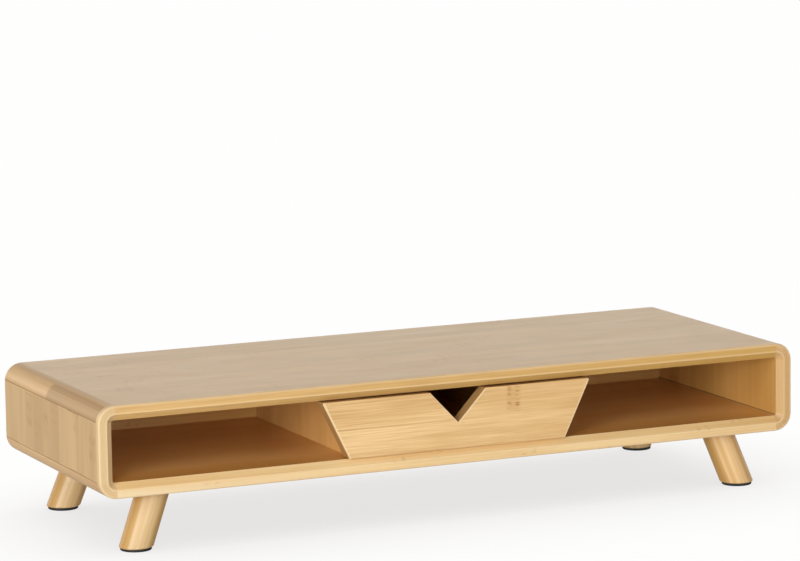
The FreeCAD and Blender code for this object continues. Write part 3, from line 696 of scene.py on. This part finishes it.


# %% Finish the top and the bottom
# The deeper tones of the painted shade on the floor of the bays.
BAY_SHADE_TONE = colour(222, 161, 83)
BAY_SHADE_FRONT = colour(206, 144, 67)
CREAM_RIM = colour(238, 216, 176)
GOLD_LEFT = colour(222, 180, 115)
GOLD_RIGHT = colour(206, 160, 76)
GOLD_DEEP = colour(184, 136, 68)
GOLD_PATCH = (45 * MILLIMETRE, 2 * MILLIMETRE)
# Millimetres to the right and to the back.
TOP_KNUCKLES = ((-266, 42), (-253, -41), (-236, -16), (-248, 16), (-256, -50))


def top_touches(tree, look, board, along, across):
    """A golden front edge, and a few faint knuckles near the left end."""
    rightwards, _, upwards = xyz(tree)
    for number, (right, back) in enumerate(TOP_KNUCKLES):
        centre = (right * MILLIMETRE, back * MILLIMETRE)
        look = knuckle(tree, look, along, across, centre, 4 * MILLIMETRE, 5 * MILLIMETRE, 0.35, board, number)
    golden = blend(tree, spread(tree, rightwards, -HALF_LENGTH, HALF_LENGTH), GOLD_LEFT, GOLD_RIGHT)
    patches = spread(tree, streaks(tree, board, *GOLD_PATCH, 2.0, 5.0), 0.45, 0.68, 0.0, 0.4)
    golden = blend(tree, patches, golden, GOLD_DEEP)
    below = spread(tree, upwards, cad_box[1].z - 2.2 * MILLIMETRE, cad_box[1].z - 0.6 * MILLIMETRE, 0.85, 0.0)
    return rim_highlights(tree, blend(tree, below, look, golden))


def bottom_touches(tree, look, board, along, across):
    """A front rim that is cream in its lower half at the left, and painted shade behind it: a deeper tone on
    the floor of the bays.
    """
    rightwards, backwards, upwards = xyz(tree)
    pale = spread(tree, rightwards, -HALF_LENGTH, -90 * MILLIMETRE, 0.75, 0.0)
    low_half = spread(tree, upwards, CASE_LOW + 4 * MILLIMETRE, CASE_LOW + 7 * MILLIMETRE, 1.0, 0.0)
    in_front = calc(tree, "MULTIPLY", low_half, rim_share(tree))
    look = blend(tree, calc(tree, "MULTIPLY", pale, in_front), look, CREAM_RIM)
    # Painted shade: the floor of the bays behind the rim gets a deeper tone.
    bay_shade_share = spread(tree, backwards, RIM_BACK, RIM_BACK + 45 * MILLIMETRE, 0.95, 0.62)
    behind_rim = calc(tree, "MULTIPLY", calc(tree, "SUBTRACT", 1.0, rim_share(tree)), bay_shade_share)
    deep = blend(tree, spread(tree, backwards, RIM_BACK, RIM_BACK + 25 * MILLIMETRE), BAY_SHADE_FRONT, BAY_SHADE_TONE)
    return rim_highlights(tree, blend(tree, behind_rim, look, deep))


TOP_CLOUD = (60 * MILLIMETRE, 16 * MILLIMETRE)
TOP_BAND = (55 * MILLIMETRE, 2.6 * MILLIMETRE)
dress(bamboo("top_board", ALONG_X, colour(224, 186, 133), colour(202, 161, 107), seed=1, glue=0.15,
             strip_share=0.2, cloud=TOP_CLOUD, band=TOP_BAND, band_share=0.8, touch_up=top_touches,
             roughness=0.34), "top_panel")
dress(bamboo("bottom_board", ALONG_X, colour(240, 207, 152), colour(222, 180, 118), seed=2,
             touch_up=bottom_touches), "bottom_panel")

# %% [markdown]
# ## The ends of the case
#
# The side boards have upright grain in strips as wide as a thumb. The corner blocks between them and the
# long boards are shaped from blocks with the grain running from front to back. On the near top block,
# one dark stave starts with a soft round end behind the middle and runs forward, between lighter ones.

# %% Finish the side boards
# Millimetres to the back, and up from the top of the case.
SIDE_KNUCKLES = ((51, -31), (-60, -19), (11, -34), (-95, -34.5))
GLUE_BROWN = colour(126, 82, 36)
PALE_RIM = colour(220, 190, 141)
PINK_RIM = colour(205, 163, 106)
OUTER_TONE = colour(208, 170, 118)


def seam_lines(tree, look):
    """The thin dark glue lines between an end board and the corner blocks."""
    upwards = xyz(tree)[2]
    to_seam = calc(tree, "MINIMUM", calc(tree, "SUBTRACT", upwards, SEAM_LOW),
                   calc(tree, "SUBTRACT", SEAM_HIGH, upwards))
    line = spread(tree, to_seam, 0.3 * MILLIMETRE, 0.9 * MILLIMETRE, 0.85, 0.0)
    line = calc(tree, "MULTIPLY", line, calc(tree, "SUBTRACT", 1.0, rim_share(tree)))
    return blend(tree, line, look, GLUE_BROWN)


def left_end_touches(tree, look, board, along, across):
    """A pale front rim, four knuckles as soft brown blots, and the glue lines."""
    _, backwards, upwards = xyz(tree)
    for number, (back, rise) in enumerate(SIDE_KNUCKLES):
        centre = (cad_box[1].z + rise * MILLIMETRE, back * MILLIMETRE)
        look = knuckle(tree, look, upwards, backwards, centre, 7 * MILLIMETRE, 6 * MILLIMETRE, 0.38, board,
                       number, marks=BLOT)
    pale = calc(tree, "MULTIPLY", rim_share(tree), 0.8)
    return rim_highlights(tree, seam_lines(tree, blend(tree, pale, look, PALE_RIM)))


def right_end_touches(tree, look, board, along, across):
    """A pinkish front rim, a paler outer face like the left end's, the glue lines and the painted edge
    highlights.
    """
    outer = spread(tree, xyz(tree)[0], HALF_LENGTH - 6 * MILLIMETRE, HALF_LENGTH - 3 * MILLIMETRE, 0.0, 0.65)
    look = blend(tree, outer, look, OUTER_TONE)
    pink = calc(tree, "MULTIPLY", rim_share(tree), 0.8)
    return rim_highlights(tree, seam_lines(tree, blend(tree, pink, look, PINK_RIM)))


dress(bamboo("left_end_board", ALONG_Z, colour(216, 180, 127), colour(194, 157, 106), seed=3, glue=0.2,
             strip_share=0.5, band_share=0.35, fibre_share=0.2, touch_up=left_end_touches), "left_side_panel")
dress(bamboo("right_end_board", ALONG_Z, colour(231, 181, 104), colour(208, 158, 84), seed=4, glue=0.2,
             strip_share=0.5, band_share=0.4, touch_up=right_end_touches), "right_side_panel")

# %% Finish the corner blocks
LEAN = radians(45)
STAVE = 6.3 * MILLIMETRE
DARK_STAVE = colour(177, 136, 86)
LOWER_STAVE = colour(165, 127, 76)


def corner_touches(tree, look, board, along, across):
    """The painted highlights on the front edge, and on the left the pale tone of the rim beside it."""
    rightwards = xyz(tree)[0]
    pale = calc(tree, "MULTIPLY", rim_share(tree), spread(tree, rightwards, 0, MILLIMETRE, 0.7, 0.0))
    return rim_highlights(tree, blend(tree, pale, look, PALE_RIM))


def near_corner_touches(tree, look, board, along, across):
    """One dark stave with a soft end, running forward from behind the middle, over a deeper one."""
    rightwards, backwards, upwards = xyz(tree)
    from_seam = calc(tree, "ADD", calc(tree, "ADD", rightwards, HALF_LENGTH),
                     calc(tree, "SUBTRACT", upwards, SEAM_HIGH))
    forward = calc(tree, "MULTIPLY", spread(tree, backwards, 8 * MILLIMETRE, 12 * MILLIMETRE, 1.0, 0.0),
                   calc(tree, "SUBTRACT", 1.0, rim_share(tree)))
    lower = spread(tree, from_seam, 9 * MILLIMETRE, 11 * MILLIMETRE, 0.8, 0.0)
    look = blend(tree, calc(tree, "MULTIPLY", lower, forward), look, LOWER_STAVE)
    inside = calc(tree, "MULTIPLY",
                  spread(tree, from_seam, 10 * MILLIMETRE, 11 * MILLIMETRE),
                  spread(tree, from_seam, 18 * MILLIMETRE, 20.5 * MILLIMETRE, 0.9, 0.0))
    look = blend(tree, calc(tree, "MULTIPLY", inside, forward), look, DARK_STAVE)
    return corner_touches(tree, look, board, along, across)


for side, lean in (("left", -LEAN), ("right", LEAN)):
    for level, rise in (("top", 1), ("bottom", -1)):
        touches = near_corner_touches if (side, level) == ("left", "top") else corner_touches
        finish = bamboo("%s_%s_corner_wood" % (level, side), (0, lean * rise, -QUARTER),
                        colour(222, 182, 126), colour(200, 157, 102), strip=STAVE, layer=9 * MILLIMETRE,
                        seed=5, touch_up=touches)
        dress(finish, "%s_%s_corner_block" % (level, side))

# %% [markdown]
# ## The boards inside
#
# The walls between the bays, the drawer box and the thin panels are plain bamboo, painted in warmer tones
# than the outside as painted shade for the inside of the case. Much of the light that reaches them has
# bounced off bamboo before, which makes them look a warm brown.

# %% Finish the inner boards
# Warmer tones than outside: painted shade for the inside of the case.
INNER_LIGHT = colour(236, 188, 118)
INNER_DARK = colour(212, 156, 86)
PANEL_LIGHT = colour(254, 214, 136)
PANEL_DARK = colour(242, 190, 112)
dress(bamboo("divider_wood", ALONG_Z, INNER_LIGHT, INNER_DARK, seed=6, band_share=0.6),
      "left_divider", "right_divider")
dress(bamboo("drawer_side_wood", ALONG_Y, INNER_LIGHT, INNER_DARK, seed=7),
      "drawer_left_side", "drawer_right_side")
dress(bamboo("drawer_back_wood", ALONG_X, INNER_LIGHT, INNER_DARK, seed=8), "drawer_back")
dress(bamboo("thin_panel_wood", ALONG_X, PANEL_LIGHT, PANEL_DARK, seed=9), "back_panel", "drawer_bottom")

# %% [markdown]
# ## The drawer front
#
# The drawer front is the piece that the eye goes to. It is glued up from two wide strips with fine, even
# grain. The glue line between them shows as a dark line at the left and fades towards the right, and one
# clear knuckle sits right of the notch.

# %% The cut edges of the drawer front
FRONT_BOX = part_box("drawer_front")
FRONT_LOW, FRONT_HIGH = (corner.z for corner in FRONT_BOX)
FRONT_FACE = FRONT_BOX[0].y
FRONT_HALF_LOW = 93.5 * MILLIMETRE
FRONT_HALF_HIGH = FRONT_BOX[1].x
NOTCH_HALF = 24 * MILLIMETRE
NOTCH_DEPTH = 25.5 * MILLIMETRE
CUT_FACE_TONE = colour(178, 136, 84)
# Painted shade on the upper edge of the drawer front, in the narrow gap under the top board.
TOP_EDGE_SHADE = colour(156, 112, 64)


def cut_edge_shade_and_highlights(tree, look):
    """A darker tone on the cut faces at the ends and in the notch, painted highlights along the edges of the
    front face, and painted shade on the upper edge, in the narrow gap under the top board.
    """
    rightwards, backwards, upwards = xyz(tree)
    outwards = calc(tree, "ABSOLUTE", rightwards)
    half_width = spread(tree, upwards, FRONT_LOW, FRONT_HIGH, FRONT_HALF_LOW, FRONT_HALF_HIGH)
    to_end = calc(tree, "SUBTRACT", half_width, outwards)
    notch_height = spread(tree, outwards, 0.0, NOTCH_HALF, FRONT_HIGH - NOTCH_DEPTH, FRONT_HIGH)
    to_notch = calc(tree, "ADD", calc(tree, "SUBTRACT", notch_height, upwards),
                    spread(tree, outwards, NOTCH_HALF, NOTCH_HALF + MILLIMETRE, 0.0, 1.0))
    to_side = calc(tree, "MINIMUM", to_end, to_notch)
    near = spread(tree, to_side, 0.3 * MILLIMETRE, 0.8 * MILLIMETRE, 0.9, 0.0)
    behind_edge = spread(tree, backwards, FRONT_FACE + 0.6 * MILLIMETRE, FRONT_FACE + 1.2 * MILLIMETRE)
    # Painted highlights along the cut edges of the front face.
    edge_highlight = spread(tree, to_side, 0.7 * MILLIMETRE, 1.5 * MILLIMETRE, 0.8, 0.0)
    edge_highlight = calc(tree, "MULTIPLY", edge_highlight, calc(tree, "SUBTRACT", 1.0, behind_edge))
    look = blend(tree, edge_highlight, look, EDGE_HIGHLIGHT)
    look = blend(tree, calc(tree, "MULTIPLY", near, behind_edge), look, CUT_FACE_TONE)
    # Painted shade on the upper edge, in the narrow gap under the top board.
    on_top = spread(tree, upwards, FRONT_HIGH - 0.4 * MILLIMETRE, FRONT_HIGH - 0.1 * MILLIMETRE, 0.0, 0.9)
    return blend(tree, calc(tree, "MULTIPLY", on_top, behind_edge), look, TOP_EDGE_SHADE)


half_widths = [round(half / MILLIMETRE, 1) for half in (FRONT_HALF_LOW, FRONT_HALF_HIGH)]
print("half widths of the drawer front in mm, below and above:", half_widths)

# %% Finish the drawer front
FRONT_STRIP = (FRONT_HIGH - FRONT_LOW) / 2
FINE_BAND = (45 * MILLIMETRE, 0.9 * MILLIMETRE)
LOWER_GOLD = colour(206, 158, 92)


def front_touches(tree, look, board, along, across):
    """The glue line that fades to the right, the knuckle of the upper strip, and the tones of the cut edges
    with their painted highlights and shade.
    """
    rightwards, _, upwards = xyz(tree)
    off_line = calc(tree, "ABSOLUTE", calc(tree, "SUBTRACT", upwards, FRONT_LOW + FRONT_STRIP))
    line = spread(tree, off_line, 0.1 * MILLIMETRE, 1.0 * MILLIMETRE, 0.5, 0.0)
    fading = spread(tree, rightwards, -70 * MILLIMETRE, 20 * MILLIMETRE, 1.0, 0.15)
    look = blend(tree, calc(tree, "MULTIPLY", line, fading), look, KNUCKLE_GOLD)
    centre = (48 * MILLIMETRE, cad_box[1].z - 24 * MILLIMETRE)
    look = knuckle(tree, look, rightwards, upwards, centre, 10 * MILLIMETRE, 3.5 * MILLIMETRE, 1.0, board,
                   3.0, marks=RUNG, tint=KNUCKLE_GOLD)
    deeper = spread(tree, rightwards, -60 * MILLIMETRE, 110 * MILLIMETRE, 0.0, 0.34)
    return cut_edge_shade_and_highlights(tree, blend(tree, deeper, look, LOWER_GOLD))


dress(bamboo("drawer_front_wood", (QUARTER, 0, 0), colour(246, 209, 151), colour(211, 167, 106),
             strip=FRONT_STRIP, start=(0, FRONT_LOW, 0), seed=10, glue=0.0, strip_share=0.10, joints=0.0,
             band=FINE_BAND, band_share=1.1, fibre_share=0.45, touch_up=front_touches), "drawer_front")

# %% [markdown]
# ## The legs
#
# Each leg is turned from a small glued block, so its strips run along it. The strips at the sides are painted
# a deeper gold than the pale one in the middle, as painted shade on the sides of the round leg. The legs
# lean, so a pattern straight up and down would cut across them. Each leg gets a finish of its own instead,
# turned until the grain follows its axis and centred on it. On every leg the pale strip is turned to the
# front left, towards the camera, and it comes back on the far side.

# %% Finish the legs
# How far a leg leans for each unit of height: the tangents of 21 and of 5 degrees.
LEG_LEAN_OUT = 0.38386
LEG_LEAN_FORWARD = 0.08749
# The deeper gold of the legs' sides is painted shade.
LEG_SIDE_SHADE = colour(189, 143, 69)
# A light and a dark tone. The front right leg is warmer in the photo.
LEG_TONES = (colour(229, 203, 158), colour(206, 166, 106))
WARMER_LEG_TONES = (colour(243, 210, 159), colour(220, 172, 107))


def leg_side_shade(tree, look, board, along, across):
    """Painted shade: deeper gold strips at both sides of the pale one."""
    aside = calc(tree, "ABSOLUTE", calc(tree, "ADD", across, 1.0 * MILLIMETRE))
    return blend(tree, spread(tree, aside, 5.5 * MILLIMETRE, 10 * MILLIMETRE, 0.0, 0.85), look, LEG_SIDE_SHADE)


def leg_finish(corner):
    """The leg bamboo turned along one leg, with its pale strip towards the front left."""
    right, back = LEG_TOP_CENTRES[corner]
    outwards = LEG_LEAN_OUT if right > 0 else -LEG_LEAN_OUT
    lengthwise = -Vector((outwards, LEG_LEAN_FORWARD if back > 0 else -LEG_LEAN_FORWARD, -1)).normalized()
    facing = direction(-CAMERA_ROUND, 0)
    facing = (facing - lengthwise * facing.dot(lengthwise)).normalized()
    turn = Matrix((lengthwise, facing.cross(lengthwise), facing))
    top_centre = Vector((right * MILLIMETRE, back * MILLIMETRE, CASE_LOW))
    tones = WARMER_LEG_TONES if corner == "front_right" else LEG_TONES
    return bamboo(corner + "_leg_wood", turn.to_euler("XYZ"), *tones, strip=6 * MILLIMETRE,
                  start=-(turn @ top_centre), seed=11, band_share=1.2, touch_up=leg_side_shade)


for corner in LEGS:
    dress(leg_finish(corner), corner + "_leg")

# %% Finish the splines and dowels
dress(bamboo("dowel_wood", ALONG_Y, colour(228, 190, 130), colour(208, 164, 100), strip=3 * MILLIMETRE),
      "top_panel_splines", "bottom_panel_splines", "left_side_panel_splines",
      "right_side_panel_splines", "drawer_front_dowels")

# %% [markdown]
# ## Rubber and steel
#
# The foot pads are matt black rubber with a fine pebbled skin and a little dust. The bolts and threaded
# sleeves inside the leg joints are zinc-plated steel: bright, but clouded, with a faint yellow in places.


# %% Finish the rubber and the steel
def grains(tree, size, detail):
    """Even noise of a given grain size, from 0 to 1."""
    place = add(tree, "ShaderNodeTexCoord").outputs["Object"]
    inputs = {"Vector": place, "Scale": 1 / size, "Detail": detail}
    return add(tree, "ShaderNodeTexNoise", inputs).outputs["Fac"]


def pebbled_rubber():
    """Matt black rubber with a pebbled, slightly dusty skin."""
    material, tree, shader = new_material("pad_rubber")
    pebbles = grains(tree, 0.7 * MILLIMETRE, 2.0)
    dust = grains(tree, 6 * MILLIMETRE, 3.0)
    tint = blend(tree, spread(tree, dust, 0.4, 0.7), (0.010, 0.010, 0.011, 1), (0.030, 0.029, 0.028, 1))
    tree.links.new(tint, shader.inputs["Base Color"])
    tree.links.new(spread(tree, pebbles, 0.3, 0.7, 0.62, 0.82), shader.inputs["Roughness"])
    bump = add(tree, "ShaderNodeBump", {"Height": pebbles, "Strength": 0.5, "Distance": 0.08 * MILLIMETRE})
    tree.links.new(bump.outputs["Normal"], shader.inputs["Normal"])
    return material


def clouded_zinc():
    """Zinc plate with bluish and yellowish clouds and a fine grain."""
    material, tree, shader = new_material("zinc_plate")
    clouds = grains(tree, 2.5 * MILLIMETRE, 3.0)
    fine = grains(tree, 0.3 * MILLIMETRE, 1.0)
    tint = blend(tree, spread(tree, clouds, 0.35, 0.65), (0.52, 0.55, 0.60, 1), (0.70, 0.68, 0.60, 1))
    tree.links.new(tint, shader.inputs["Base Color"])
    tree.links.new(spread(tree, clouds, 0.3, 0.7, 0.26, 0.42), shader.inputs["Roughness"])
    shader.inputs["Metallic"].default_value = 1.0
    bump = add(tree, "ShaderNodeBump", {"Height": fine, "Strength": 0.2, "Distance": 0.02 * MILLIMETRE})
    tree.links.new(bump.outputs["Normal"], shader.inputs["Normal"])
    return material


dress(pebbled_rubber(), *(corner + "_foot_pad" for corner in LEGS))
dress(clouded_zinc(), "leg_hanger_bolts", "leg_threaded_inserts")
